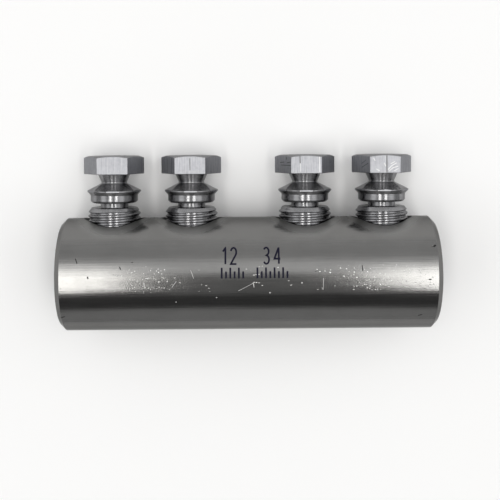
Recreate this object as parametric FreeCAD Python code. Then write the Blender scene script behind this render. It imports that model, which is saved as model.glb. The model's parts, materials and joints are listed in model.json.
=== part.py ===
import FreeCAD, Part

import math
import os

# In-line mechanical screw connector for cable conductors: one bored sleeve with four shear bolts.
# All sizes are in millimetres. Each piece is drawn in the sleeve's own frame, where X runs along
# the bore, Z is the direction that the bolts stand in, and the origin is the middle of the sleeve.
# The finished pieces are then laid on the plane z = 0 the way the connector comes to rest.

# Sleeve
SLEEVE_DIAMETER = 34.5
SLEEVE_LENGTH = 114.0
END_EDGE_CHAMFER = 1.5
BORE_DIAMETER = 20.0
PARTITION_THICKNESS = 6.0
BORE_MOUTH_CHAMFER = 1.0
BORE_FLOOR_CHAMFER = 1.0

# Rows of threaded holes, two over each bore
END_TO_BOLT = 15.75
PAIR_SPACING = 23.75
COUNTERSINK_DIAMETER = 18.8
COUNTERSINK_ANGLE = 120.0

# Thread, shown as a plain shank and a plain hole at its outer diameter
THREAD_DIAMETER = 16.0
THREAD_CLEARANCE = 0.05
TIP_CLEARANCE = 0.3

# Shear bolt, turned from hexagon bar, from its tip up to its head
THREAD_LENGTH = 10.2
TIP_CHAMFER = 1.0
THREAD_END_DIAMETER = 12.6
THREAD_END_HEIGHT = 1.9
LOWER_NECK_DIAMETER = 8.4
LOWER_NECK_HEIGHT = 1.55
COLLAR_DIAMETER = 14.4
COLLAR_HEIGHT = 2.4
COLLAR_CHAMFER = 0.6
RIM_DIAMETER = 16.4
RIM_UNDERCUT_HEIGHT = 1.05
RIM_BAND_HEIGHT = 0.3
FLANGE_CONE_HEIGHT = 2.2
UPPER_NECK_DIAMETER = 7.8
UPPER_NECK_HEIGHT = 0.4
HEAD_CONE_DIAMETER = 10.0
HEAD_CONE_HEIGHT = 2.5
HEX_ACROSS_FLATS = 16.0
HEAD_HEIGHT = 5.5
HEAD_FACE_DIAMETER = 15.4
HEAD_CHAMFER_ANGLE = 20.0

# Turn of each head about its own axis, from flats parallel to the sleeve
HEAD_TURNS = (3.3, 0.0, 0.0, 0.0)

SLEEVE_RADIUS = SLEEVE_DIAMETER / 2
BORE_RADIUS = BORE_DIAMETER / 2
BORE_DEPTH = (SLEEVE_LENGTH - PARTITION_THICKNESS) / 2
THREAD_RADIUS = THREAD_DIAMETER / 2
HEX_CORNER_RADIUS = HEX_ACROSS_FLATS / math.sqrt(3)
X_AXIS = FreeCAD.Vector(1, 0, 0)
Z_AXIS = FreeCAD.Vector(0, 0, 1)

# Heights on the bolt, measured from the sleeve's axis
TIP = BORE_RADIUS + TIP_CLEARANCE
THREAD_TOP = TIP + THREAD_LENGTH
COLLAR_BOTTOM = THREAD_TOP + LOWER_NECK_HEIGHT
COLLAR_TOP = COLLAR_BOTTOM + COLLAR_HEIGHT
RIM_BOTTOM = COLLAR_TOP + RIM_UNDERCUT_HEIGHT
RIM_TOP = RIM_BOTTOM + RIM_BAND_HEIGHT
UPPER_NECK_BOTTOM = RIM_TOP + FLANGE_CONE_HEIGHT
UPPER_NECK_TOP = UPPER_NECK_BOTTOM + UPPER_NECK_HEIGHT
HEAD_BOTTOM = UPPER_NECK_TOP + HEAD_CONE_HEIGHT
HEAD_TOP = HEAD_BOTTOM + HEAD_HEIGHT


def head_edge_height(radius):
    """Height of the chamfered top of the head at a distance from the bolt's axis."""
    drop = (radius - HEAD_FACE_DIAMETER / 2) * math.tan(math.radians(HEAD_CHAMFER_ANGLE))
    return HEAD_TOP - max(0.0, drop)


def bolt_places():
    """Places of the four bolts along the sleeve, from left to right."""
    outer = SLEEVE_LENGTH / 2 - END_TO_BOLT
    inner = outer - PAIR_SPACING
    return (-outer, -inner, inner, outer)


def turned(points, axis):
    """Solid of revolution of a closed outline."""
    outline = Part.makePolygon(points + [points[0]])
    return Part.Face(outline).revolve(FreeCAD.Vector(0, 0, 0), axis, 360)


def bore_cutter(side):
    """One blind bore with its chamfered mouth and floor edge, opening at the end of that side."""
    half = SLEEVE_LENGTH / 2
    overrun = BORE_MOUTH_CHAMFER
    mouth_radius = BORE_RADIUS + BORE_MOUTH_CHAMFER
    outline = [
        FreeCAD.Vector(0, 0, 0),
        FreeCAD.Vector(BORE_RADIUS - BORE_FLOOR_CHAMFER, 0, 0),
        FreeCAD.Vector(BORE_RADIUS, 0, BORE_FLOOR_CHAMFER),
        FreeCAD.Vector(BORE_RADIUS, 0, BORE_DEPTH - BORE_MOUTH_CHAMFER),
        FreeCAD.Vector(mouth_radius + overrun, 0, BORE_DEPTH + overrun),
        FreeCAD.Vector(0, 0, BORE_DEPTH + overrun),
    ]
    cutter = turned(outline, Z_AXIS)
    cutter.rotate(FreeCAD.Vector(0, 0, 0), FreeCAD.Vector(0, 1, 0), 90 * side)
    cutter.translate(X_AXIS * side * (half - BORE_DEPTH))
    return cutter


def hole_cutter(place):
    """One threaded hole through the upper wall, with its countersink on the crown."""
    hole_radius = THREAD_RADIUS + THREAD_CLEARANCE
    slope = math.tan(math.radians(COUNTERSINK_ANGLE / 2))
    countersink_radius = COUNTERSINK_DIAMETER / 2
    countersink_bottom = SLEEVE_RADIUS - (countersink_radius - hole_radius) / slope
    overrun = SLEEVE_RADIUS / 4
    outline = [
        FreeCAD.Vector(0, 0, 0),
        FreeCAD.Vector(hole_radius, 0, 0),
        FreeCAD.Vector(hole_radius, 0, countersink_bottom),
        FreeCAD.Vector(countersink_radius + overrun * slope, 0, SLEEVE_RADIUS + overrun),
        FreeCAD.Vector(0, 0, SLEEVE_RADIUS + overrun),
    ]
    cutter = turned(outline, Z_AXIS)
    cutter.translate(X_AXIS * place)
    return cutter


def make_sleeve():
    """Round sleeve with two blind bores that a solid partition parts, and four threaded holes."""
    half = SLEEVE_LENGTH / 2
    sleeve = Part.makeCylinder(SLEEVE_RADIUS, SLEEVE_LENGTH, FreeCAD.Vector(-half, 0, 0), X_AXIS)
    rims = [edge for edge in sleeve.Edges if isinstance(edge.Curve, Part.Circle)]
    sleeve = sleeve.makeChamfer(END_EDGE_CHAMFER, rims)
    for side in (-1, 1):
        sleeve = sleeve.cut(bore_cutter(side))
    for place in bolt_places():
        sleeve = sleeve.cut(hole_cutter(place))
    return sleeve


def bolt_outline():
    """Half section of a shear bolt, out to the corners of its hexagon bar."""
    thread_shoulder = THREAD_TOP - THREAD_END_HEIGHT
    lower_neck = LOWER_NECK_DIAMETER / 2
    upper_neck = UPPER_NECK_DIAMETER / 2
    collar = COLLAR_DIAMETER / 2
    bar = HEX_CORNER_RADIUS
    section = [
        (0, TIP),
        (THREAD_RADIUS - TIP_CHAMFER, TIP),
        (THREAD_RADIUS, TIP + TIP_CHAMFER),
        (THREAD_RADIUS, thread_shoulder),
        (THREAD_END_DIAMETER / 2, THREAD_TOP),
        (lower_neck, THREAD_TOP),
        (lower_neck, COLLAR_BOTTOM),
        (collar - COLLAR_CHAMFER, COLLAR_BOTTOM),
        (collar, COLLAR_BOTTOM + COLLAR_CHAMFER),
        (collar, COLLAR_TOP),
        (RIM_DIAMETER / 2, RIM_BOTTOM),
        (RIM_DIAMETER / 2, RIM_TOP),
        (upper_neck, UPPER_NECK_BOTTOM),
        (upper_neck, UPPER_NECK_TOP),
        (HEAD_CONE_DIAMETER / 2, HEAD_BOTTOM),
        (bar, HEAD_BOTTOM),
        (bar, head_edge_height(bar)),
        (HEAD_FACE_DIAMETER / 2, HEAD_TOP),
        (0, HEAD_TOP),
    ]
    return [FreeCAD.Vector(radius, 0, height) for radius, height in section]


def waste_beside_bar():
    """All that lies outside the hexagon bar, from the collar up. Two flats run along the sleeve."""
    height = HEAD_TOP - COLLAR_TOP
    corners = [
        FreeCAD.Vector(
            HEX_CORNER_RADIUS * math.cos(math.radians(60 * corner)),
            HEX_CORNER_RADIUS * math.sin(math.radians(60 * corner)),
            COLLAR_TOP,
        )
        for corner in range(7)
    ]
    bar = Part.Face(Part.makePolygon(corners)).extrude(Z_AXIS * height)
    return Part.makeCylinder(2 * HEX_CORNER_RADIUS, height, Z_AXIS * COLLAR_TOP).cut(bar)


def make_bolt(place, turn):
    """Shear bolt in one piece: threaded shank, lower neck, collar and flange, upper neck, head."""
    bolt = turned(bolt_outline(), Z_AXIS).cut(waste_beside_bar())
    bolt.rotate(FreeCAD.Vector(0, 0, 0), Z_AXIS, turn)
    bolt.translate(X_AXIS * place)
    return bolt


def head_edge_points(turn):
    """(height, reach) of points along the head's upper edge, reach being towards the floor side."""
    points = []
    for degrees in range(-180, 180):
        direction = math.radians(degrees)
        from_flat = math.radians((degrees + 30) % 60 - 30)
        radius = HEX_ACROSS_FLATS / 2 / math.cos(from_flat)
        reach = radius * math.cos(direction + math.radians(turn))
        points.append((head_edge_height(radius), reach))
    return points


def resting_tilt():
    """Angle of the bolts below the horizontal, where the first head touches the floor."""
    tilts = []
    for turn in HEAD_TURNS:
        for height, reach in head_edge_points(turn):
            if reach > 0:
                away = math.hypot(height, reach)
                tilts.append(math.asin(SLEEVE_RADIUS / away) - math.atan2(reach, height))
    return min(tilts)


def reach_of_heads(tilt):
    """How far the heads stand out from the sleeve's axis, measured along the floor."""
    face_radius = HEAD_FACE_DIAMETER / 2
    reaches = [HEAD_TOP * math.cos(tilt) + face_radius * math.sin(tilt)]
    for turn in HEAD_TURNS:
        for height, reach in head_edge_points(turn):
            reaches.append(height * math.cos(tilt) + reach * math.sin(tilt))
    return max(reaches)


def lay_down(shape, tilt):
    """Lays a piece as the connector rests: sleeve on the floor, bolts to +Y and a little down."""
    middle = (reach_of_heads(tilt) - SLEEVE_RADIUS) / 2
    shape.rotate(FreeCAD.Vector(0, 0, 0), X_AXIS, -90 - math.degrees(tilt))
    shape.translate(FreeCAD.Vector(0, -middle, SLEEVE_RADIUS))
    return shape


def main():
    os.makedirs("parts", exist_ok=True)
    tilt = resting_tilt()
    pieces = {"sleeve": make_sleeve()}
    for number, (place, turn) in enumerate(zip(bolt_places(), HEAD_TURNS), start=1):
        pieces["shear_bolt_%d" % number] = make_bolt(place, turn)
    for name, shape in pieces.items():
        solid = lay_down(shape, tilt)
        solid.exportStep("parts/%s.step" % name)
        print("%s: %d solid, %.1f mm3" % (name, len(solid.Solids), solid.Volume))
    print("bolts rest %.2f degrees below the horizontal" % math.degrees(tilt))


main()
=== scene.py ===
import json
import math

import bpy
from mathutils import Matrix, Vector


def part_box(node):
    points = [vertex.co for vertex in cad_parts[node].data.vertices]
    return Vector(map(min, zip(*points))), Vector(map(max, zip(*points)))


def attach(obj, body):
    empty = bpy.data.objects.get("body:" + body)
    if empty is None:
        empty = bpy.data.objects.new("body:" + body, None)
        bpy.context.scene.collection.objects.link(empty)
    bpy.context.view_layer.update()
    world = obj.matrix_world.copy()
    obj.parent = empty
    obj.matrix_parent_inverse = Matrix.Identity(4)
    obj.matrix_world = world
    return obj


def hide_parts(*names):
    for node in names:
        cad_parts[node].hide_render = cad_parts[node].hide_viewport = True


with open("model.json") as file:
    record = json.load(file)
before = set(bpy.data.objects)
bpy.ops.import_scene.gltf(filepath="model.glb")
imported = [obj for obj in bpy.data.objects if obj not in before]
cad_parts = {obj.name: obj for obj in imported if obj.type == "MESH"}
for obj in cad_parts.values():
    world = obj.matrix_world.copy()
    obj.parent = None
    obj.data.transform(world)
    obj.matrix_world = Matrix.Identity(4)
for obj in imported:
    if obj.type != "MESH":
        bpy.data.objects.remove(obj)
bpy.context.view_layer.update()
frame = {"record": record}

# Sizes are in millimetres in this script, and new_piece turns them into metres. Pieces are drawn in
# the sleeve's own axes: x along the bore, y away from the camera, z the way that the bolts stand.
MM = 0.001

# Sleeve
SLEEVE_RADIUS = 17.25
SLEEVE_HALF = 57.0
END_EDGE_CHAMFER = 1.5
BORE_RADIUS = 10.0
PARTITION_HALF = 3.0
MOUTH_CHAMFER = 1.0
FLOOR_CHAMFER = 1.0
HOLE_RADIUS = 8.05
COUNTERSINK_RADIUS = 9.4
COUNTERSINK_SLOPE = math.tan(math.radians(60))
SLEEVE_COLUMNS = 256
HOLE_COLUMNS = 128

# Bolt, from its tip up, measured from the sleeve's axis
THREAD_RADIUS = 8.0
THREAD_ROOT_RADIUS = 7.4
PITCH = 1.5
TIP = 10.3
TIP_CHAMFER = 1.0
THREAD_TOP = 20.5
THREAD_END_RADIUS = 7.0
THREAD_END_HEIGHT = 1.25
LOWER_NECK_RADIUS = 4.2
COLLAR_BOTTOM = 22.05
COLLAR_TOP = 24.45
COLLAR_RADIUS = 7.2
COLLAR_CHAMFER = 0.6
RIM_BOTTOM = 25.5
RIM_TOP = 25.8
RIM_RADIUS = 8.2
UPPER_NECK_BOTTOM = 28.0
UPPER_NECK_TOP = 28.4
UPPER_NECK_RADIUS = 3.9
HEAD_CONE_RADIUS = 5.0
HEAD_BOTTOM = 30.9
HEAD_TOP = 36.4
HEX_HALF_WIDTH = 8.0
HEX_CORNER_ROUND = 0.3
HEAD_FACE_RADIUS = 7.7
HEAD_CHAMFER_SLOPE = math.tan(math.radians(20))
EDGE_BREAK = 0.12
RIM_CORNER_RISE = 0.13
HEAD_FACE_RINGS = (5.8, 3.9, 2.0, 0.7)
TIP_FACE_RINGS = (4.6, 2.3, 0.7)
# Which row of the head's faces is its flats, and how near the rim and the bar's surface is on both
HEAD_SIDE_ROW = 2
RIM_MARGIN = 0.5
ON_BAR = 0.002

# Meshing: steps of a rounded corner and of a numeral's bow, degrees between columns on a flat and
# their number to each side, least edge, and the angles of a sharp edge and of half a corner that
# isn't rounded
ARC_STEPS = 4
BOW_STEPS = 10
FLAT_STEP = 2.5
FLAT_STEPS = 11
LEAST_EDGE = 0.03
SHARP_ANGLE = math.radians(28)
NEARLY_STRAIGHT = math.radians(88)

# Material slots of a bolt
TURNED, DRAWN, ROLLED = range(3)

# Worn thread from a crest to a root: shares of the pitch, and of the depth
THREAD_FLANK = ((0.09, 0.0), (0.19, 0.25), (0.29, 0.68), (0.38, 0.95))

# Tint of the metals' reflection where it grazes them
EDGE_TINT = (0.5, 0.5, 0.5, 1)

# Depths of the finish in millimetres
STREAK_DEPTH = 0.022
WAVE_DEPTH = 0.06
DENT_DEPTH = 0.035
TURNING_DEPTH = 0.018
DRAWING_DEPTH = 0.02

# Where a scratch fades out, in shares of its half width
SCRATCH_EDGE = (0.6, 1.7)

# Tin plate: greys and roughness of its skin and of what marks it
TIN_DARK = (0.174, 0.173, 0.17, 1)
TIN_LIGHT = (0.188, 0.187, 0.184, 1)
TIN_STREAK = (0.202, 0.2, 0.195, 1)
# Painted glint: the dents are painted lighter than the skin
TIN_PAINTED_DENT_GLINT = (0.44, 0.44, 0.435, 1)
TIN_SCRATCH = (0.55, 0.55, 0.545, 1)
TIN_PIT = (0.03, 0.03, 0.03, 1)
# Painted light beside the holes, standing in for the bolts' reflection in the skin
TIN_PAINTED_LIGHT_BESIDE_HOLE = (0.25, 0.25, 0.245, 1)
# Painted shade at the holes' rims and in their countersinks
TIN_PAINTED_HOLE_SHADE = (0.02, 0.02, 0.02, 1)
TIN_ROUGHNESS = 0.16
TIN_ANISOTROPY = 0.52
SMOOTH_STREAK, ROUGH_STREAK = 0.14, 0.18
BESIDE_HOLE_ROUGHNESS = 0.34
WORN_ROUGHNESS = 0.45

# Grain of the tin plate, in features for each millimetre along x, y and z, or for the rings at its
# ends along x and outward
STREAK_GRAIN = (0.07, 2.6, 2.6)
WAVE_GRAIN = (0.03, 0.16, 0.16)
RING_GRAIN = (5.0, 5.0, 0.0)
DENT_GRAIN = (1.3, 1.7, 1.7)
MOTTLE_GRAIN = 0.14
DENT_DENSITY_GRAIN = 0.11
# Where the streaks give way to rings, from the sleeve's end
RING_WIDTH = (1.7, 1.4)
# Chance that a cell holds a dent, the reach of a dent in its cell, and the softness of the edges of
# the parts given below
DENT_CHOICE = (0.48, 0.56)
DENT_REACH = (0.05, 0.36)
DENTED_EDGE = 3.0
DENTS_EDGE = 0.5

# Painted light on the skin beside the holes, and painted shade at their rims and countersinks: the
# height above which both start, distances out from a hole's wall, and how far from the sleeve's
# axis the skin ends and the countersink starts
UPPER_SIDE = (10.0, 11.0)
BESIDE_HOLE = (-2.0, 3.6)
BESIDE_HOLE_EDGE = 1.8
HOLE_SHADE_FROM_WALL = (0.12, 0.4)
COUNTERSINK_REACH = (1.4, 1.6)
COUNTERSINK_SKIN = (17.19, 17.23)

# Turned aluminium of the bolts
TURNED_GREYS = (0.24, 0.3)
TURNED_BLUE = 1.03
TURNED_ROUGHNESS = 0.24
TURNED_ANISOTROPY = 0.98
QUARTER_TURN = 0.25
TURNING_GRAIN = (0.25, 0.25, 7.0)
# Painted reflection on the flange's cone: its lighter grey, how much of it, the heights it covers
# and their softness
CONE_PAINTED_REFLECTION_GREY = (0.43, 0.43, 0.44, 1)
CONE_SHARE = 0.85
CONE_HEIGHTS = (RIM_TOP + 0.25, UPPER_NECK_BOTTOM + 0.1)
CONE_EDGE = 0.15

# Drawn aluminium of the hexagons
DRAWN_ROUGHNESS = 0.37
DRAWN_ANISOTROPY = 0.55
DRAWN_DARK = (0.235, 0.238, 0.255, 1)
DRAWN_LIGHT = (0.35, 0.355, 0.375, 1)
DRAWN_BLOTCH = (0.38, 0.385, 0.405, 1)
DRAWING_GRAIN = (4.0, 4.0, 0.12)
BLOTCH_GRAIN = 0.9
BRIGHT_MARK_GREY = 0.54
DARK_MARK_GREY = 0.08

# Ink and floor: roughness, specular level, features of the grain for each millimetre, both colours
INK = (0.6, 0.1, 2.0, (0.004, 0.004, 0.012, 1), (0.009, 0.009, 0.024, 1))
FLOOR = (0.9, 0.2, 0.02, (0.93, 0.93, 0.93, 1), (0.94, 0.94, 0.94, 1))
FLOOR_HALF_METRES = 3

# Height of a thread's crest at the left of each bolt, and the turn of each head in degrees
CREST_HEIGHTS = (17.97, 17.8, 17.6, 17.7)
HEAD_TURNS = (3.3, 0.0, 0.0, 0.0)

# Wear on the sleeve: pixels of the photograph where each mark starts and ends, and its half width
BRIGHT_SCRATCHES = (
    ((190.8, 270.5), (193.6, 278.2), 0.05),
    ((171.9, 287.3), (176.1, 281.7), 0.05),
    ((238.5, 290.8), (253.3, 283.1), 0.045),
    ((253.3, 283.1), (254.0, 287.0), 0.08),
    ((323.5, 278.2), (323.3, 289.4), 0.05),
    ((322.0, 287.6), (323.3, 289.4), 0.05),
    ((143.8, 283.0), (144.6, 287.8), 0.09),
    ((216.2, 297.4), (216.8, 297.4), 0.09),
    ((175.8, 302.0), (176.3, 302.0), 0.1),
    ((269.7, 292.5), (270.3, 292.5), 0.13),
    ((301.8, 282.8), (302.4, 282.8), 0.11),
    ((377.2, 289.2), (377.8, 289.2), 0.09),
)
DARK_SCRATCHES = (
    ((75.4, 258.8), (77.0, 263.4), 0.1),
    ((119.6, 267.2), (120.6, 269.4), 0.1),
    ((87.5, 277.2), (87.9, 278.4), 0.12),
    ((131.9, 262.4), (132.3, 262.4), 0.12),
    ((61.2, 317.6), (64.4, 316.6), 0.13),
    ((362.2, 265.4), (362.8, 270.6), 0.1),
    ((315.4, 271.2), (316.2, 271.2), 0.1),
    ((429.2, 279.4), (431.2, 279.4), 0.1),
    ((418.4, 315.4), (421.8, 314.4), 0.12),
    ((434.2, 246.2), (435.2, 245.4), 0.25),
    ((431.6, 246.3), (433.6, 246.3), 0.08),
)

# Parts of the sleeve with the most dents, and all that is dented, which is the band of light where
# the dents' painted glints show: pixels at the lower left and the upper right
DENTED = (((112, 293), (168, 268)), ((350, 293), (415, 272)))
DENTS_REACH = ((62, 294), (438, 264))

# Wear on the heads: bolt, facing of the flat in degrees, pixels of both ends, and half width
BRIGHT_HEAD_MARKS = (
    (4, 0, (388.2, 169.4), (391.8, 165.6), 0.09),
    (4, 0, (391.8, 165.6), (396.4, 163.0), 0.09),
    (4, 0, (389.4, 170.8), (393.2, 167.6), 0.08),
    (4, 0, (393.2, 167.6), (398.0, 166.2), 0.08),
    (4, 0, (391.0, 163.6), (394.8, 161.6), 0.08),
    (4, 0, (394.2, 170.8), (398.2, 168.6), 0.07),
    (4, 0, (384.4, 163.0), (385.8, 166.0), 0.08),
    (4, 0, (373.6, 158.0), (375.0, 160.4), 0.08),
    (4, 0, (376.4, 169.0), (379.4, 170.6), 0.08),
    (3, 0, (319.6, 157.0), (319.8, 171.6), 0.09),
    (3, 0, (300.4, 163.0), (300.6, 171.6), 0.05),
)
DARK_HEAD_MARKS = (
    (4, 0, (386.9, 155.6), (387.0, 172.2), 0.13),
    (4, -60, (362.0, 167.2), (368.0, 163.2), 0.08),
    (4, -60, (361.6, 163.6), (365.6, 160.2), 0.06),
    (3, -60, (286.5, 157.4), (286.6, 159.2), 0.13),
    (3, -60, (280.2, 162.6), (284.2, 162.0), 0.08),
    (3, -60, (281.2, 165.0), (290.6, 165.5), 0.08),
    (3, -60, (287.0, 162.8), (290.2, 162.2), 0.08),
    (3, 60, (330.0, 160.0), (330.2, 163.0), 0.1),
    (3, 0, (300.0, 156.4), (300.2, 163.0), 0.1),
    (2, -60, (171.6, 158.4), (171.8, 174.0), 0.1),
    (2, -60, (167.2, 159.0), (167.4, 174.0), 0.08),
    (2, 0, (189.8, 158.6), (190.0, 170.0), 0.08),
)

# Camera in the sleeve's axes, and where its optical axis meets the picture
PICTURE = 500
CAMERA_PLACE = (-2.699, -278.799, 42.574)
CAMERA_YAW = 0.0119
CAMERA_PITCH = -0.03876
CAMERA_ROLL = -0.00601
FOCAL_PIXELS = 903.856
OPTICAL_AXIS_PIXEL = (250.0, 170.0)
SENSOR = 36.0
CLIP_METRES = (0.01, 20)

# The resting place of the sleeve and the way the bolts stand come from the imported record
record = frame["record"]
axis_place = record["mounts"][0]["pos_m"]
inward = Vector(record["behaviour"]["joints"][0]["axis"])
along = Vector((1, 0, 0))
outward = -inward
away = outward.cross(along)
sleeve_axes = Matrix((along, away, outward)).transposed().to_4x4()
sleeve_axes.translation = (0, axis_place[1], axis_place[2])
bolt_nodes = ["shear_bolt_%d" % number for number in range(1, 5)]
bolt_places = [(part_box(node)[0].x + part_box(node)[1].x) / 2 / MM for node in bolt_nodes]


def camera_axes():
    """Right, up and ahead of the camera in the sleeve's axes."""
    ahead = Vector((
        math.sin(CAMERA_YAW) * math.cos(CAMERA_PITCH),
        math.cos(CAMERA_YAW) * math.cos(CAMERA_PITCH),
        math.sin(CAMERA_PITCH),
    ))
    level = Vector((math.cos(CAMERA_YAW), -math.sin(CAMERA_YAW), 0))
    upright = level.cross(ahead)
    right = math.cos(CAMERA_ROLL) * level + math.sin(CAMERA_ROLL) * upright
    up = -math.sin(CAMERA_ROLL) * level + math.cos(CAMERA_ROLL) * upright
    return right, up, ahead


def line_of_sight(pixel):
    """Direction in the sleeve's axes in which the camera sees a pixel."""
    right, up, ahead = camera_axes()
    across = (pixel[0] - OPTICAL_AXIS_PIXEL[0]) / FOCAL_PIXELS
    down = (pixel[1] - OPTICAL_AXIS_PIXEL[1]) / FOCAL_PIXELS
    return ahead + right * across - up * down


def on_flat(pixel, number, facing):
    """Where a line of sight meets the bolt's flat that faces this many degrees from the front."""
    normal = Vector((math.sin(math.radians(facing)), -math.cos(math.radians(facing)), 0))
    sight = line_of_sight(pixel)
    eye = Vector(CAMERA_PLACE)
    gap = HEX_HALF_WIDTH - (eye - Vector((bolt_places[number - 1], 0, 0))).dot(normal)
    return eye + sight * (gap / sight.dot(normal))


def on_sleeve(pixel):
    """Where a pixel's line of sight meets the sleeve: x, and the arc up from its front line."""
    sight = line_of_sight(pixel)
    eye = Vector(CAMERA_PLACE)
    square = sight.y**2 + sight.z**2
    half = eye.y * sight.y + eye.z * sight.z
    rest = eye.y**2 + eye.z**2 - SLEEVE_RADIUS**2
    place = eye + sight * ((-half - math.sqrt(half**2 - square * rest)) / square)
    return Vector((place.x, SLEEVE_RADIUS * math.atan2(place.z, -place.y), 0))


class Graph:
    """Adds nodes to a material or to the world."""

    def __init__(self, tree):
        self.tree = tree

    def put(self, socket, value):
        """Links a socket to another node's output, or sets it to a number or a colour."""
        if isinstance(value, bpy.types.NodeSocket):
            self.tree.links.new(value, socket)
        else:
            socket.default_value = value

    def node(self, kind, sockets=None, **settings):
        """Shader node with these settings, and links or values for its named sockets."""
        made = self.tree.nodes.new("ShaderNode" + kind)
        for name, value in settings.items():
            setattr(made, name, value)
        for name, value in (sockets or {}).items():
            self.put(made.inputs[name], value)
        return made

    def math(self, operation, *values):
        """Number from an operation on numbers."""
        made = self.node("Math", operation=operation)
        for socket, value in zip(made.inputs, values):
            self.put(socket, value)
        return made.outputs[0]

    def vector(self, operation, *values):
        """Vector or number from an operation on vectors."""
        made = self.node("VectorMath", operation=operation)
        sockets = [made.inputs[0], made.inputs["Scale"]] if operation == "SCALE" else made.inputs
        for socket, value in zip(sockets, values):
            self.put(socket, value)
        return made.outputs["Value" if operation in ("DISTANCE", "DOT_PRODUCT") else "Vector"]

    def length(self, first, second):
        """Length of the two numbers as a vector in a plane."""
        squares = [self.math("POWER", number, 2.0) for number in (first, second)]
        return self.math("SQRT", self.math("ADD", *squares))

    def mix(self, factor, first, second):
        """Colour between the first and the second."""
        made = self.node("Mix", data_type="RGBA")
        self.put(made.inputs[0], factor)
        self.put(made.inputs[6], first)
        self.put(made.inputs[7], second)
        return made.outputs[2]

    def blend(self, factor, first, second):
        """Number between the first and the second."""
        made = self.node("Mix", data_type="FLOAT")
        self.put(made.inputs[0], factor)
        self.put(made.inputs[2], first)
        self.put(made.inputs[3], second)
        return made.outputs[0]

    def window(self, value, low, high, soft):
        """One from low to high and nought elsewhere, with soft edges."""
        rising = self.ramp(value, low - soft, low + soft)
        falling = self.ramp(value, high - soft, high + soft, 1.0, 0.0)
        return self.math("MULTIPLY", rising, falling)

    def ramp(self, value, low, high, start=0.0, end=1.0):
        """Value from start to end while the input goes from low to high, held outside that."""
        bounds = {"From Min": low, "From Max": high, "To Min": start, "To Max": end}
        made = self.node("MapRange", {"Value": value, **bounds}, interpolation_type="SMOOTHSTEP")
        return made.outputs["Result"]

    def noise(self, vector, scale, detail, roughness):
        """Soft random number from nought to one, the same wherever the vector is the same."""
        sockets = {"Vector": vector, "Scale": scale, "Detail": detail, "Roughness": roughness}
        return self.node("TexNoise", sockets).outputs["Fac"]


def new_material(name, roughness):
    """Material, its shader, and the graph that adds its nodes."""
    made = bpy.data.materials.new(name)
    made.use_nodes = True
    shader = made.node_tree.nodes["Principled BSDF"]
    shader.inputs["Roughness"].default_value = roughness
    return made, shader, Graph(made.node_tree)


def new_metal(name, roughness, anisotropic, turn=0.0):
    """Metal whose reflection is drawn out along or across its tangent."""
    made, shader, graph = new_material(name, roughness)
    shader.inputs["Metallic"].default_value = 1.0
    shader.inputs["Anisotropic"].default_value = anisotropic
    shader.inputs["Anisotropic Rotation"].default_value = turn
    shader.inputs["Specular Tint"].default_value = EDGE_TINT
    return made, shader, graph


def finish_metal(graph, shader, colour, height, depth, tangent):
    """Links a metal's colour, its relief of that depth in metres, and its tangent."""
    bump = graph.node("Bump", {"Height": height, "Strength": 1.0, "Distance": depth})
    graph.put(shader.inputs["Base Color"], colour)
    graph.put(shader.inputs["Normal"], bump.outputs["Normal"])
    graph.put(shader.inputs["Tangent"], tangent)


def bolt_attribute(graph, name, output):
    """Value that make_bolt stores on the bolt's points."""
    return graph.node("Attribute", attribute_name=name).outputs[output]


def sleeve_point(graph):
    """Vector of the point in the sleeve's axes, in millimetres, and its three numbers."""
    place = graph.node("TexCoord").outputs["Object"]
    offset = graph.vector("SUBTRACT", place, tuple(sleeve_axes.translation))
    numbers = [
        graph.math("MULTIPLY", graph.vector("DOT_PRODUCT", offset, tuple(axis)), 1 / MM)
        for axis in (along, away, outward)
    ]
    vector = graph.node("CombineXYZ", dict(zip("XYZ", numbers))).outputs["Vector"]
    return vector, *numbers


def stretched(graph, numbers, scales):
    """Texture place with each number times its scale."""
    scaled = [graph.math("MULTIPLY", number, scale) for number, scale in zip(numbers, scales)]
    return graph.node("CombineXYZ", dict(zip("XYZ", scaled))).outputs["Vector"]


def scratch_mask(graph, here, scratches):
    """One on any of the scratches, given as two ends and a half width, and nought off them."""
    total = 0.0
    for start, end, half_width in scratches:
        span = end - start
        offset = graph.vector("SUBTRACT", here, tuple(start))
        run = graph.vector("DOT_PRODUCT", offset, tuple(span))
        reached = graph.math("DIVIDE", run, span.length_squared)
        share = graph.math("MAXIMUM", graph.math("MINIMUM", reached, 1.0), 0.0)
        nearest = graph.vector("SCALE", tuple(span), share)
        gap = graph.vector("DISTANCE", offset, nearest)
        mark = graph.ramp(gap, *[half_width * edge for edge in SCRATCH_EDGE], 1.0, 0.0)
        total = graph.math("MAXIMUM", total, mark)
    return total


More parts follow.
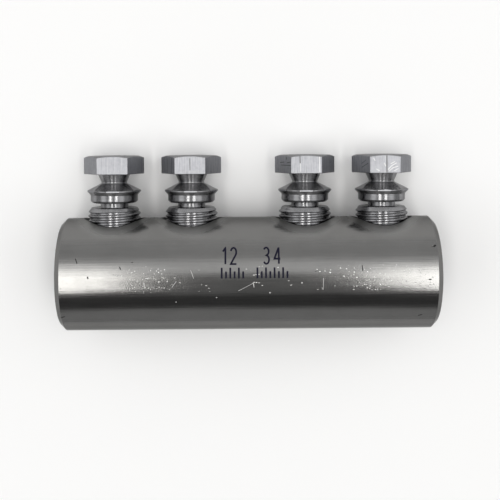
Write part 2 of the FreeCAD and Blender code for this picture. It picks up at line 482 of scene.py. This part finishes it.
def tin_material():
    """Bright tin plate: fine drawn streaks along the sleeve, small dents, scratches and pits."""
    made, shader, graph = new_metal("tin_plate", TIN_ROUGHNESS, TIN_ANISOTROPY)
    place, x, y, z = sleeve_point(graph)
    reach = graph.length(y, z)
    front = graph.math("MULTIPLY", y, -1.0)
    arc = graph.math("MULTIPLY", graph.math("ARCTAN2", z, front), SLEEVE_RADIUS)

    streaks = graph.noise(stretched(graph, (x, y, z), STREAK_GRAIN), 1.0, 4.0, 0.6)
    rings = graph.noise(stretched(graph, (x, reach, reach), RING_GRAIN), 1.0, 3.0, 0.6)
    at_ends = graph.ramp(graph.math("ABSOLUTE", x), *[SLEEVE_HALF - width for width in RING_WIDTH])
    marks = graph.blend(at_ends, streaks, rings)
    waves = graph.noise(stretched(graph, (x, y, z), WAVE_GRAIN), 1.0, 1.0, 0.4)
    mottle = graph.noise(place, MOTTLE_GRAIN, 3.0, 0.55)
    dents = dent_mask(graph, place, x, y, z, arc)
    here = graph.node("CombineXYZ", {"X": x, "Y": arc, "Z": 0.0}).outputs["Vector"]
    wear = []
    for scratches in (BRIGHT_SCRATCHES, DARK_SCRATCHES):
        placed = [(on_sleeve(start), on_sleeve(end), width) for start, end, width in scratches]
        wear.append(scratch_mask(graph, here, placed))
    bright, dark = wear
    worn = graph.math("MAXIMUM", bright, dark)
    beside, rim = hole_surroundings(graph, x, y, z, reach)

    colour = graph.mix(graph.ramp(mottle, 0.35, 0.65), TIN_DARK, TIN_LIGHT)
    colour = graph.mix(graph.ramp(marks, 0.3, 0.7, 0.0, 0.5), colour, TIN_STREAK)
    # Painted glint in the dents
    colour = graph.mix(dents, colour, TIN_PAINTED_DENT_GLINT)
    colour = graph.mix(bright, colour, TIN_SCRATCH)
    colour = graph.mix(dark, colour, TIN_PIT)
    # Painted light beside the holes, then painted shade at their rims and in their countersinks
    colour = graph.mix(beside, colour, TIN_PAINTED_LIGHT_BESIDE_HOLE)
    colour = graph.mix(rim, colour, TIN_PAINTED_HOLE_SHADE)
    rough = graph.ramp(marks, 0.25, 0.75, SMOOTH_STREAK, ROUGH_STREAK)
    rough = graph.blend(beside, rough, BESIDE_HOLE_ROUGHNESS)
    graph.put(shader.inputs["Roughness"], graph.blend(worn, rough, WORN_ROUGHNESS))

    height = graph.math("MULTIPLY", waves, WAVE_DEPTH)
    height = graph.math("ADD", height, graph.math("MULTIPLY", marks, STREAK_DEPTH))
    for mask in (dents, worn):
        height = graph.math("SUBTRACT", height, graph.math("MULTIPLY", mask, DENT_DEPTH))
    around = graph.node("CombineXYZ", {"X": 0.0, "Y": z, "Z": front}).outputs["Vector"]
    finish_metal(graph, shader, colour, height, MM, turned_back(graph, around))
    return made


def dent_mask(graph, place, x, y, z, arc):
    """One in the small dents of the sleeve's front: bumped hollows with a painted glint, spread
    at random, closest in the parts given in DENTED, and kept to the band of light.
    """
    stretch = stretched(graph, (x, y, z), DENT_GRAIN)
    cells = graph.node("TexVoronoi", {"Vector": stretch, "Scale": 1.0, "Randomness": 1.0})
    chance = graph.node("SeparateColor", {"Color": cells.outputs["Color"]}).outputs["Red"]
    dent_density = graph.ramp(graph.noise(place, DENT_DENSITY_GRAIN, 2.0, 0.5), 0.4, 0.6, 0.0, 0.8)
    for low, high in DENTED:
        start, end = on_sleeve(low), on_sleeve(high)
        dent_density = graph.math("MAXIMUM", dent_density, graph.window(x, start.x, end.x, DENTED_EDGE))
    low, high = [on_sleeve(pixel).y for pixel in DENTS_REACH]
    dent_density = graph.math("MULTIPLY", dent_density, graph.window(arc, low, high, DENTS_EDGE))
    chosen = graph.ramp(graph.math("MULTIPLY", chance, dent_density), *DENT_CHOICE)
    hollow = graph.ramp(cells.outputs["Distance"], *DENT_REACH, 1.0, 0.0)
    return graph.math("MULTIPLY", chosen, hollow)


def hole_surroundings(graph, x, y, z, reach):
    """Masks of the painted light on the skin beside the holes, and of the painted shade at their
    rims and in their countersinks.
    """
    middle = (bolt_places[2] + bolt_places[3]) / 2
    half_spacing = (bolt_places[3] - bolt_places[2]) / 2
    folded = graph.math("ABSOLUTE", graph.math("SUBTRACT", graph.math("ABSOLUTE", x), middle))
    across = graph.math("SUBTRACT", folded, half_spacing)
    gap = graph.math("SUBTRACT", graph.length(across, y), HOLE_RADIUS)
    above = graph.ramp(z, *UPPER_SIDE)
    # Painted light on the skin beside the holes
    beside = graph.math("MULTIPLY", graph.window(gap, *BESIDE_HOLE, BESIDE_HOLE_EDGE), above)
    # Painted shade at the hole's rim and in its countersink
    rim = graph.ramp(gap, *HOLE_SHADE_FROM_WALL, 1.0, 0.0)
    near = graph.ramp(gap, *COUNTERSINK_REACH, 1.0, 0.0)
    countersink_shade = graph.math("MULTIPLY", near, graph.ramp(reach, *COUNTERSINK_SKIN, 1.0, 0.0))
    return beside, graph.math("MULTIPLY", graph.math("MAXIMUM", rim, countersink_shade), above)


def turned_back(graph, vector):
    """World direction of a vector given in the sleeve's axes."""
    numbers = graph.node("SeparateXYZ", {"Vector": vector})
    parts = [
        graph.vector("SCALE", tuple(axis), numbers.outputs[name])
        for axis, name in zip((along, away, outward), "XYZ")
    ]
    total = graph.vector("ADD", graph.vector("ADD", parts[0], parts[1]), parts[2])
    return graph.vector("NORMALIZE", total)


def turned_material(name):
    """Turned aluminium with fine tool marks round the bolt, and a painted reflection that makes
    the flange's cone lighter.
    """
    made, shader, graph = new_metal(name, TURNED_ROUGHNESS, TURNED_ANISOTROPY, QUARTER_TURN)
    x, y, z = sleeve_point(graph)[1:]
    run = graph.math("ADD", z, bolt_attribute(graph, "reach", "Fac"))
    marks = graph.noise(stretched(graph, (x, y, run), TURNING_GRAIN), 1.0, 3.0, 0.6)
    dark, light = [(grey, grey, grey * TURNED_BLUE, 1) for grey in TURNED_GREYS]
    colour = graph.mix(graph.ramp(marks, 0.3, 0.7), dark, light)
    # Painted reflection: the flange's cone made lighter
    cone = graph.window(z, *CONE_HEIGHTS, CONE_EDGE)
    colour = graph.mix(graph.math("MULTIPLY", cone, CONE_SHARE), colour, CONE_PAINTED_REFLECTION_GREY)
    around = bolt_attribute(graph, "around", "Vector")
    finish_metal(graph, shader, colour, marks, TURNING_DEPTH * MM, around)
    return made


def drawn_material():
    """Matt flats of drawn hexagon bar, with streaks along the bar."""
    made, shader, graph = new_metal("drawn_aluminium", DRAWN_ROUGHNESS, DRAWN_ANISOTROPY)
    place, x, y, z = sleeve_point(graph)
    streaks = graph.noise(stretched(graph, (x, y, z), DRAWING_GRAIN), 1.0, 4.0, 0.65)
    blotches = graph.noise(place, BLOTCH_GRAIN, 3.0, 0.6)
    colour = graph.mix(graph.ramp(streaks, 0.3, 0.7), DRAWN_DARK, DRAWN_LIGHT)
    colour = graph.mix(graph.ramp(blotches, 0.35, 0.7, 0.0, 0.35), colour, DRAWN_BLOTCH)
    for wear, grey in ((BRIGHT_HEAD_MARKS, BRIGHT_MARK_GREY), (DARK_HEAD_MARKS, DARK_MARK_GREY)):
        marks = [
            (on_flat(start, number, facing), on_flat(end, number, facing), width)
            for number, facing, start, end, width in wear
        ]
        colour = graph.mix(scratch_mask(graph, place, marks), colour, (grey, grey, grey, 1))
    height = graph.math("ADD", streaks, graph.math("MULTIPLY", blotches, 0.5))
    around = bolt_attribute(graph, "around", "Vector")
    finish_metal(graph, shader, colour, height, DRAWING_DEPTH * MM, around)
    return made


def speckled_material(name, roughness, specular, grain, dark, light):
    """Matt material that varies between two colours."""
    made, shader, graph = new_material(name, roughness)
    shader.inputs["Specular IOR Level"].default_value = specular
    blotch = graph.noise(sleeve_point(graph)[0], grain, 2.0, 0.5)
    graph.put(shader.inputs["Base Color"], graph.mix(blotch, dark, light))
    return made


def new_piece(name, points, faces, materials, face_materials=None):
    """Mesh object from points in the sleeve's axes, smooth but for its sharp edges."""
    mesh = bpy.data.meshes.new(name)
    mesh.from_pydata([sleeve_axes @ (Vector(point) * MM) for point in points], [], faces)
    for material in materials:
        mesh.materials.append(material)
    if face_materials:
        mesh.polygons.foreach_set("material_index", face_materials)
    mesh.polygons.foreach_set("use_smooth", [True] * len(mesh.polygons))
    mesh.set_sharp_from_angle(angle=SHARP_ANGLE)
    mesh.update()
    piece = bpy.data.objects.new(name, mesh)
    bpy.context.scene.collection.objects.link(piece)
    return piece


def with_modifier(piece, kind, **settings):
    """Applies one modifier to the piece's mesh."""
    modifier = piece.modifiers.new(kind.lower(), kind)
    for name, value in settings.items():
        setattr(modifier, name, value)
    evaluated = piece.evaluated_get(bpy.context.evaluated_depsgraph_get())
    made = bpy.data.meshes.new_from_object(evaluated)
    piece.modifiers.clear()
    piece.data = made


def even_shading(piece):
    """Lets the large faces rule the normals, so that rounded edges don't tilt them."""
    with_modifier(piece, "WEIGHTED_NORMAL", mode="FACE_AREA", weight=100, keep_sharp=True)


def rounded(corners):
    """Outline through (a, b, radius) corners, with an arc of that radius at each inner corner."""
    outline = [corners[0][:2]]
    for before, corner, after in zip(corners, corners[1:], corners[2:]):
        here = Vector(corner[:2])
        back = (Vector(before[:2]) - here).normalized()
        ahead = (Vector(after[:2]) - here).normalized()
        half = back.angle(ahead) / 2
        radius = corner[2]
        if radius == 0 or half > NEARLY_STRAIGHT:
            outline.append(tuple(here))
            continue
        centre = here + (back + ahead).normalized() * (radius / math.sin(half))
        start = here + back * (radius / math.tan(half)) - centre
        end = here + ahead * (radius / math.tan(half)) - centre
        sweep = start.angle_signed(end)
        for step in range(ARC_STEPS + 1):
            turn = Matrix.Rotation(-sweep * step / ARC_STEPS, 2)
            outline.append(tuple(centre + turn @ start))
    outline.append(corners[-1][:2])
    return outline


def ring_points(angles, radius, height):
    """Ring of points round z."""
    return [(radius * math.cos(angle), radius * math.sin(angle), height) for angle in angles]


def capped(points, faces, edge, angles, radii, height, upward):
    """Adds rings of these radii and a middle point inside the ring that starts at index edge."""
    columns = len(angles)
    added = []
    below = edge
    for radius in radii:
        ring = len(points)
        points += ring_points(angles, radius, height)
        added += ring_faces(below, ring, columns)
        below = ring
    middle = len(points)
    points.append((0, 0, height))
    added += [(below + column, below + (column + 1) % columns, middle) for column in range(columns)]
    faces += added if upward else [tuple(reversed(face)) for face in added]


def ring_faces(first, second, count):
    """Quads between two rings of points that start at these indices."""
    faces = []
    for column in range(count):
        following = (column + 1) % count
        faces.append((first + column, first + following, second + following, second + column))
    return faces


def revolved(outline, columns):
    """Closed surface of (height, radius) points turned about z, with a flat cap at both ends."""
    angles = [2 * math.pi * column / columns for column in range(columns)]
    points = [point for height, radius in outline for point in ring_points(angles, radius, height)]
    faces = [tuple(reversed(range(columns)))]
    for row in range(len(outline) - 1):
        faces += ring_faces(row * columns, (row + 1) * columns, columns)
    last = (len(outline) - 1) * columns
    faces.append(tuple(range(last, last + columns)))
    return points, faces


def make_sleeve(material):
    """The sleeve, turned outside and bored from both ends, less its four countersunk holes."""
    end = SLEEVE_HALF
    half_outline = rounded([
        (0, SLEEVE_RADIUS, 0),
        (end - END_EDGE_CHAMFER, SLEEVE_RADIUS, 0.2),
        (end, SLEEVE_RADIUS - END_EDGE_CHAMFER, 0.2),
        (end, BORE_RADIUS + MOUTH_CHAMFER, 0.1),
        (end - MOUTH_CHAMFER, BORE_RADIUS, 0.1),
        (PARTITION_HALF + FLOOR_CHAMFER, BORE_RADIUS, 0),
        (PARTITION_HALF, BORE_RADIUS - FLOOR_CHAMFER, 0),
    ])
    outline = [(-x, radius) for x, radius in reversed(half_outline)] + half_outline[1:]
    points, faces = revolved(outline, SLEEVE_COLUMNS)
    points = [(z, x, y) for x, y, z in points]
    sleeve = new_piece("sleeve_body", points, faces, [material])
    overrun = SLEEVE_RADIUS / 4
    cone_bottom = SLEEVE_RADIUS - (COUNTERSINK_RADIUS - HOLE_RADIUS) / COUNTERSINK_SLOPE
    cutter_outline = [
        (0, HOLE_RADIUS),
        (cone_bottom, HOLE_RADIUS),
        (SLEEVE_RADIUS + overrun, COUNTERSINK_RADIUS + overrun * COUNTERSINK_SLOPE),
    ]
    cutter_points, cutter_faces = revolved(cutter_outline, HOLE_COLUMNS)
    for place in bolt_places:
        shifted = [(x + place, y, z) for x, y, z in cutter_points]
        cutter = new_piece("hole", shifted, cutter_faces, [material])
        with_modifier(sleeve, "BOOLEAN", operation="DIFFERENCE", solver="EXACT", object=cutter)
        bpy.data.objects.remove(cutter)
    sleeve.data.set_sharp_from_angle(angle=SHARP_ANGLE)
    even_shading(sleeve)
    return sleeve


def hexagon_columns():
    """Angles round the bolt, closer together at the hexagon's rounded corners."""
    tangent = (HEX_HALF_WIDTH - HEX_CORNER_ROUND) * math.tan(math.radians(30)) / HEX_HALF_WIDTH
    corner_start = math.degrees(math.atan(tangent))
    corner_middle = (corner_start + 30) / 2
    steps = [FLAT_STEP * step for step in range(-FLAT_STEPS, FLAT_STEPS + 1)]
    sector = [-30, -corner_middle, -corner_start] + steps + [corner_start, corner_middle]
    return [math.radians(60 * side + 30 + angle) for side in range(6) for angle in sector]


def hexagon_radius(angle):
    """Distance from the axis to the bar's surface, whose flats face 30, 90 ... degrees."""
    from_flat = abs(math.degrees(angle) % 60 - 30)
    flat = HEX_HALF_WIDTH / math.cos(math.radians(from_flat))
    centre = (HEX_HALF_WIDTH - HEX_CORNER_ROUND) / math.cos(math.radians(30))
    off = math.radians(30 - from_flat)
    reach = HEX_CORNER_ROUND**2 - (centre * math.sin(off)) ** 2
    if reach <= 0:
        return flat
    return min(flat, centre * math.cos(off) + math.sqrt(reach))


def thread_profile():
    """(offset, radius) round one pitch of the thread, from a crest's lower edge."""
    depth = THREAD_RADIUS - THREAD_ROOT_RADIUS
    flank = [(share * PITCH, THREAD_RADIUS - drop * depth) for share, drop in THREAD_FLANK]
    rising = [(PITCH - offset, radius) for offset, radius in reversed(flank)]
    return flank + [(PITCH / 2, THREAD_ROOT_RADIUS)] + rising


def shank_envelope(height):
    """Radius of the shank's turned outline, into which the thread is cut."""
    lower = THREAD_RADIUS - TIP_CHAMFER + (height - TIP)
    slope = (THREAD_RADIUS - THREAD_END_RADIUS) / THREAD_END_HEIGHT
    upper = THREAD_END_RADIUS + (THREAD_TOP - height) * slope
    return min(THREAD_RADIUS, lower, upper)


def threaded_shank(angles, crest_height):
    """Points and faces of the thread, in rows along the helix between a lower and an upper ring."""
    columns = len(angles)
    points = []
    for height in (TIP, THREAD_TOP):
        radius = shank_envelope(height)
        points += ring_points(angles, radius, height)
    profile = thread_profile()
    rows_per_turn = len(profile)
    first_turn = -math.ceil((crest_height - TIP) / PITCH) - 2
    last_turn = math.ceil((THREAD_TOP - crest_height) / PITCH) + 2
    turns = range(first_turn, last_turn)
    rows = [(turn * PITCH + offset, radius) for turn in turns for offset, radius in profile]
    grid = []
    for column, angle in enumerate(angles):
        rise = PITCH * (angle / (2 * math.pi) - 0.5)
        line = []
        for offset, radius in rows:
            height = crest_height + rise + offset
            if height < TIP + LEAST_EDGE:
                line.append(column)
            elif height > THREAD_TOP - LEAST_EDGE:
                line.append(columns + column)
            else:
                reach = min(radius, shank_envelope(height))
                line.append(len(points))
                points.append((reach * math.cos(angle), reach * math.sin(angle), height))
        grid.append(line)
    faces = []
    for column in range(columns):
        line, following = grid[column], grid[(column + 1) % columns]
        shift = rows_per_turn if column == columns - 1 else 0
        for row in range(rows_per_turn, len(rows) - 1):
            low, high = row - shift, row - shift + 1
            loop = [line[low], following[low + shift], following[high + shift], line[high]]
            distinct = [point for place, point in enumerate(loop) if point != loop[place - 1]]
            if len(distinct) >= 3 and len(set(distinct)) == len(distinct):
                faces.append(tuple(distinct))
    return points, faces


def head_rows(angle):
    """(radius, height) from the head's underside over its side and chamfer to its top face."""
    bar = hexagon_radius(angle)

    def chamfer_height(radius):
        return HEAD_TOP - max(0.0, radius - HEAD_FACE_RADIUS) * HEAD_CHAMFER_SLOPE

    return [
        (bar - EDGE_BREAK, HEAD_BOTTOM),
        (bar, HEAD_BOTTOM + EDGE_BREAK),
        (bar, chamfer_height(bar) - EDGE_BREAK / 2),
        (bar - EDGE_BREAK, chamfer_height(bar - EDGE_BREAK)),
        (HEAD_FACE_RADIUS + EDGE_BREAK / 2, chamfer_height(HEAD_FACE_RADIUS + EDGE_BREAK / 2)),
        (HEAD_FACE_RADIUS - EDGE_BREAK, HEAD_TOP),
    ]


def on_bar(point):
    """Whether a point of the rim lies on the surface of the bar that the bolt is turned from."""
    bar = hexagon_radius(math.atan2(point[1], point[0]))
    near_rim = RIM_BOTTOM - RIM_MARGIN < point[2] < RIM_TOP + RIM_MARGIN
    return near_rim and abs(math.hypot(point[0], point[1]) - bar) < ON_BAR


def make_bolt(number, crest_height, turn, materials):
    """Shear bolt with a true helical thread, turned necks, collar and flange, and drawn flats."""
    angles = hexagon_columns()
    columns = len(angles)
    points, faces = threaded_shank(angles, crest_height)
    face_materials = [ROLLED] * len(faces)
    outline = rounded([
        (THREAD_END_RADIUS, THREAD_TOP, 0),
        (LOWER_NECK_RADIUS, THREAD_TOP, 0.25),
        (LOWER_NECK_RADIUS, COLLAR_BOTTOM, 0.25),
        (COLLAR_RADIUS - COLLAR_CHAMFER, COLLAR_BOTTOM, 0.2),
        (COLLAR_RADIUS, COLLAR_BOTTOM + COLLAR_CHAMFER, 0.3),
        (COLLAR_RADIUS, COLLAR_TOP, 0.15),
        (RIM_RADIUS, RIM_BOTTOM, 0.1),
        (RIM_RADIUS, RIM_TOP, 0.1),
        (HEX_HALF_WIDTH, RIM_TOP + RIM_CORNER_RISE, 0),
        (UPPER_NECK_RADIUS, UPPER_NECK_BOTTOM, 0.5),
        (UPPER_NECK_RADIUS, UPPER_NECK_TOP, 0.5),
        (HEAD_CONE_RADIUS, HEAD_BOTTOM, 0),
    ])[1:]
    below = columns
    for radius, height in outline:
        ring = len(points)
        for angle in angles:
            reach = min(radius, hexagon_radius(angle)) if height > COLLAR_TOP else radius
            points.append((reach * math.cos(angle), reach * math.sin(angle), height))
        faces += ring_faces(below, ring, columns)
        below = ring
    first_side = len(faces) + HEAD_SIDE_ROW * columns
    for row in zip(*[head_rows(angle) for angle in angles]):
        ring = len(points)
        for angle, (radius, height) in zip(angles, row):
            points.append((radius * math.cos(angle), radius * math.sin(angle), height))
        faces += ring_faces(below, ring, columns)
        below = ring
    capped(points, faces, below, angles, HEAD_FACE_RINGS, HEAD_TOP, True)
    capped(points, faces, 0, angles, TIP_FACE_RINGS, TIP, False)
    face_materials += [TURNED] * (len(faces) - len(face_materials))
    for index, face in enumerate(faces):
        on_side = first_side <= index < first_side + columns
        if on_side or all(on_bar(points[point]) for point in face):
            face_materials[index] = DRAWN
    place = bolt_places[number - 1]
    spin = Matrix.Rotation(math.radians(turn), 3, "Z")
    points = [spin @ Vector(point) + Vector((place, 0, 0)) for point in points]
    bolt = new_piece("bolt_%d_turned" % number, points, faces, materials, face_materials)
    reach = bolt.data.attributes.new("reach", "FLOAT", "POINT")
    around = bolt.data.attributes.new("around", "FLOAT_VECTOR", "POINT")
    for index, point in enumerate(points):
        across = point.x - place
        reach.data[index].value = math.hypot(across, point.y)
        around.data[index].vector = along * -point.y + away * across
    even_shading(bolt)
    return bolt


def bow(centre, radii, start, end):
    """Points on an ellipse's arc between two angles in degrees."""
    points = []
    for step in range(BOW_STEPS + 1):
        angle = math.radians(start + (end - start) * step / BOW_STEPS)
        place = (centre[0] + radii[0] * math.cos(angle), centre[1] + radii[1] * math.sin(angle))
        points.append(place)
    return points


# Strokes of the numerals in a box one wide and one high
UPPER_BOW = bow((0.48, 0.755), (0.42, 0.245), 150, -90)
LOWER_BOW = bow((0.48, 0.255), (0.46, 0.255), 90, -150)
NUMERALS = {
    "1": [(0.2, 0.76), (0.62, 1.0), (0.62, 0.0)],
    "2": bow((0.5, 0.72), (0.45, 0.28), 165, -38) + [(0.03, 0.0), (0.98, 0.0)],
    "3": UPPER_BOW + LOWER_BOW[1:],
    "4": [(0.74, 0.0), (0.74, 1.0), (0.0, 0.3), (1.0, 0.3)],
}
# Ink: width of a stroke, step along it, height on the skin and root under it. Places run along the
# sleeve from its middle, and bases are degrees up from its front.
INK_WIDTH = 0.52
INK_STEP = 0.3
INK_TOP = 0.03
INK_ROOT = 0.05
NUMERAL_SIZE = (1.75, 5.0)
NUMERAL_BASE = 16.8
NUMERAL_PLACES = (("1", -8.0), ("2", -5.4), ("3", 4.2), ("4", 7.4))
TICK_BASE = 3.0
TICK_HEIGHTS = (3.1, 2.0)
TICK_SPACING = 1.25
TICK_STARTS = ((-8.0, 6), (2.4, 8))
# Limits of the mitre at a stroke's sharp corners
SHARPEST_BEND = 0.5
LEAST_MITRE = 0.55


def closely_spaced(stroke):
    """The stroke with points added, so that none of its steps is long."""
    points = [Vector(stroke[0])]
    for start, end in zip(stroke, stroke[1:]):
        start, end = Vector(start), Vector(end)
        steps = math.ceil((end - start).length / INK_STEP)
        points += [start.lerp(end, step / steps) for step in range(1, steps + 1)]
    return points


def ribbon(stroke, width):
    """Left and right edges of a stroke of even width, mitred at its corners."""
    edges = []
    for index, point in enumerate(stroke):
        here = Vector(point)
        back = here - Vector(stroke[index - 1]) if index else Vector(stroke[1]) - here
        ahead = Vector(stroke[index + 1]) - here if index < len(stroke) - 1 else back
        back.normalize()
        ahead.normalize()
        middle = back + ahead
        if middle.length < SHARPEST_BEND:
            middle = back
        middle.normalize()
        side = Vector((-middle.y, middle.x))
        reach = width / 2 / max(LEAST_MITRE, side.dot(Vector((-back.y, back.x))))
        edges.append((here + side * reach, here - side * reach))
    return edges


def make_marking(material):
    """Plain numerals and a row of ticks in ink on the sleeve, one numeral for each bolt."""
    strokes = []
    width, height = NUMERAL_SIZE
    base = SLEEVE_RADIUS * math.radians(NUMERAL_BASE)
    for numeral, left in NUMERAL_PLACES:
        strokes.append([(left + x * width, base + y * height) for x, y in NUMERALS[numeral]])
    base = SLEEVE_RADIUS * math.radians(TICK_BASE)
    for left, count in TICK_STARTS:
        for tick in range(count):
            place = left + tick * TICK_SPACING
            strokes.append([(place, base), (place, base + TICK_HEIGHTS[tick % 2])])
    points = []
    faces = []
    for stroke in strokes:
        edges = ribbon(closely_spaced(stroke), INK_WIDTH)
        first = len(points)
        for left, right in edges:
            section = ((left, INK_TOP), (right, INK_TOP), (right, -INK_ROOT), (left, -INK_ROOT))
            for (x, reach), rise in section:
                angle = reach / SLEEVE_RADIUS
                radius = SLEEVE_RADIUS + rise
                points.append((x, -radius * math.cos(angle), radius * math.sin(angle)))
        for station in range(len(edges) - 1):
            here = first + 4 * station
            for side in range(4):
                following = (side + 1) % 4
                faces.append((here + side, here + following, here + 4 + following, here + 4 + side))
        faces.append((first + 3, first + 2, first + 1, first))
        last = first + 4 * (len(edges) - 1)
        faces.append((last, last + 1, last + 2, last + 3))
    return new_piece("ink_marking", points, faces, [material])


def make_floor():
    """Plain pale floor."""
    half = FLOOR_HALF_METRES
    corners = [(-half, -half, 0), (half, -half, 0), (half, half, 0), (-half, half, 0)]
    mesh = bpy.data.meshes.new("floor")
    mesh.from_pydata(corners, [], [(0, 1, 2, 3)])
    mesh.materials.append(speckled_material("pale_floor", *FLOOR))
    floor = bpy.data.objects.new("floor", mesh)
    bpy.context.scene.collection.objects.link(floor)


def make_camera():
    """Camera that stands and looks as the photograph's did."""
    right, up, ahead = camera_axes()
    stand = Matrix((right, up, -ahead)).transposed().to_4x4()
    stand.translation = Vector(CAMERA_PLACE) * MM
    data = bpy.data.cameras.new("camera")
    data.sensor_width = SENSOR
    data.lens = SENSOR * FOCAL_PIXELS / PICTURE
    data.shift_x = (PICTURE / 2 - OPTICAL_AXIS_PIXEL[0]) / PICTURE
    data.shift_y = (OPTICAL_AXIS_PIXEL[1] - PICTURE / 2) / PICTURE
    data.clip_start, data.clip_end = CLIP_METRES
    camera = bpy.data.objects.new("camera", data)
    bpy.context.scene.collection.objects.link(camera)
    camera.matrix_world = sleeve_axes @ stand
    bpy.context.scene.camera = camera


def make_panel(name, azimuths, elevations, radiance, colour):
    """Upright soft panel before the connector, between azimuths and elevations seen from it."""
    left, right = [PANEL_DISTANCE * math.tan(math.radians(azimuth)) for azimuth in azimuths]
    low, high = [PANEL_DISTANCE * math.tan(math.radians(elevation)) for elevation in elevations]
    lamp = bpy.data.lights.new(name, "AREA")
    lamp.shape = "RECTANGLE"
    lamp.size, lamp.size_y = (right - left) * MM, (high - low) * MM
    lamp.energy = radiance * math.pi * lamp.size * lamp.size_y
    lamp.color = colour
    panel = bpy.data.objects.new(name, lamp)
    bpy.context.scene.collection.objects.link(panel)
    side, upright, toward = Vector((1, 0, 0)), Vector((0, 0, 1)), Vector((0, -1, 0))
    stand = Matrix((side, upright, toward)).transposed().to_4x4()
    stand.translation = Vector(((left + right) / 2, -PANEL_DISTANCE, (low + high) / 2)) * MM
    panel.matrix_world = sleeve_axes @ stand
    panel.visible_camera = False


# Soft panels: azimuths, elevation of the lower edge, and colour. The rows of each panel: elevations
# and radiance, and the main one starts at the panel's lower edge.
PANEL_DISTANCE = 1100
WARM = (1.0, 0.985, 0.955)
PALE = (1.0, 0.99, 0.965)
PANELS = (
    ("left_outer", (-18.5, -13.0), -30.0, WARM),
    ("left_inner", (-13.0, -9.6), -24.0, WARM),
    ("right_inner", (11.2, 13.6), -19.0, PALE),
    ("right_middle", (13.6, 15.4), -25.0, PALE),
    ("right_outer", (15.4, 19.6), -31.0, PALE),
)
PANEL_ROWS = (("main", None, 5, 5.7), ("upper", 5, 15, 3.8), ("top", 15, 25, 1.4))
# Low strips beside the panels, toward the middle: azimuths, elevations, radiance and colour
STRIPS = (
    ("left_strip", (-9.6, -8.3), (-6.0, 6.0), 4.4, WARM),
    ("right_strip", (9.6, 11.2), (-5.0, 7.0), 3.6, PALE),
)

# Light of the room: azimuths and their softness, elevations and their softness, and level. A later
# row covers the ones before it.
ROOM_LEVEL = 0.78
ALL_ROUND = (-180.1, 180.1)
NO_EDGE = 0.01
ROOM = (
    ((-62, 62), 12, (5, 33), 9, 1.45),
    ((-160, -98), 8, (-33, 45), 8, 0.62),
    ((98, 160), 8, (-33, 45), 8, 0.62),
    ((-105, 105), 12, (-33, 5), 6, 0.38),
    ((-10, 10), 5, (-33, 0), 6, 0.31),
    ((-60, -35), 6, (-33, 14), 5, 1.4),
    ((29, 54), 6, (-33, 14), 5, 1.35),
    (ALL_ROUND, NO_EDGE, (-95, -33), 3, 0.58),
    ((-75, 75), 12, (-67, -33), 4, 0.10),
    (ALL_ROUND, NO_EDGE, (66, 95), 13, 0.92),
)


def make_world():
    """Soft light of a room, brighter above the camera and darker before and below the connector."""
    world = bpy.data.worlds.new("room")
    bpy.context.scene.world = world
    world.use_nodes = True
    graph = Graph(world.node_tree)
    direction = graph.node("TexCoord").outputs["Generated"]
    across, ahead, rise = [
        graph.vector("DOT_PRODUCT", direction, tuple(axis)) for axis in (along, -away, outward)
    ]
    azimuth = graph.math("DEGREES", graph.math("ARCTAN2", across, ahead))
    elevation = graph.math("DEGREES", graph.math("ARCSINE", rise))
    level = ROOM_LEVEL
    for azimuths, azimuth_softness, elevations, elevation_softness, target in ROOM:
        sideways = graph.window(azimuth, *azimuths, azimuth_softness)
        upward = graph.window(elevation, *elevations, elevation_softness)
        level = graph.blend(graph.math("MULTIPLY", sideways, upward), level, target)
    background = world.node_tree.nodes["Background"]
    graph.put(background.inputs["Strength"], level)
    background.inputs["Color"].default_value = (1.0, 1.0, 1.0, 1)


def main():
    """Makes the pieces, and then the floor, the camera and the lights."""
    turned, rolled = [turned_material(name) for name in ("turned_aluminium", "rolled_thread")]
    bolt_materials = [turned, drawn_material(), rolled]
    sleeve = make_sleeve(tin_material())
    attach(sleeve, "sleeve")
    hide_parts("sleeve")
    marking = make_marking(speckled_material("ink", *INK))
    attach(marking, "sleeve")
    for number, (crest_height, turn) in enumerate(zip(CREST_HEIGHTS, HEAD_TURNS), start=1):
        bolt = make_bolt(number, crest_height, turn, bolt_materials)
        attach(bolt, "bolt_%d" % number)
        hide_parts("shear_bolt_%d" % number)
    make_floor()
    make_camera()
    make_world()
    for side, azimuths, bottom, colour in PANELS:
        for row, low, high, radiance in PANEL_ROWS:
            elevations = (bottom if low is None else low, high)
            make_panel("%s_%s_panel" % (side, row), azimuths, elevations, radiance, colour)
    for strip in STRIPS:
        make_panel(*strip)
    bpy.context.scene.view_settings.view_transform = "Standard"


main()
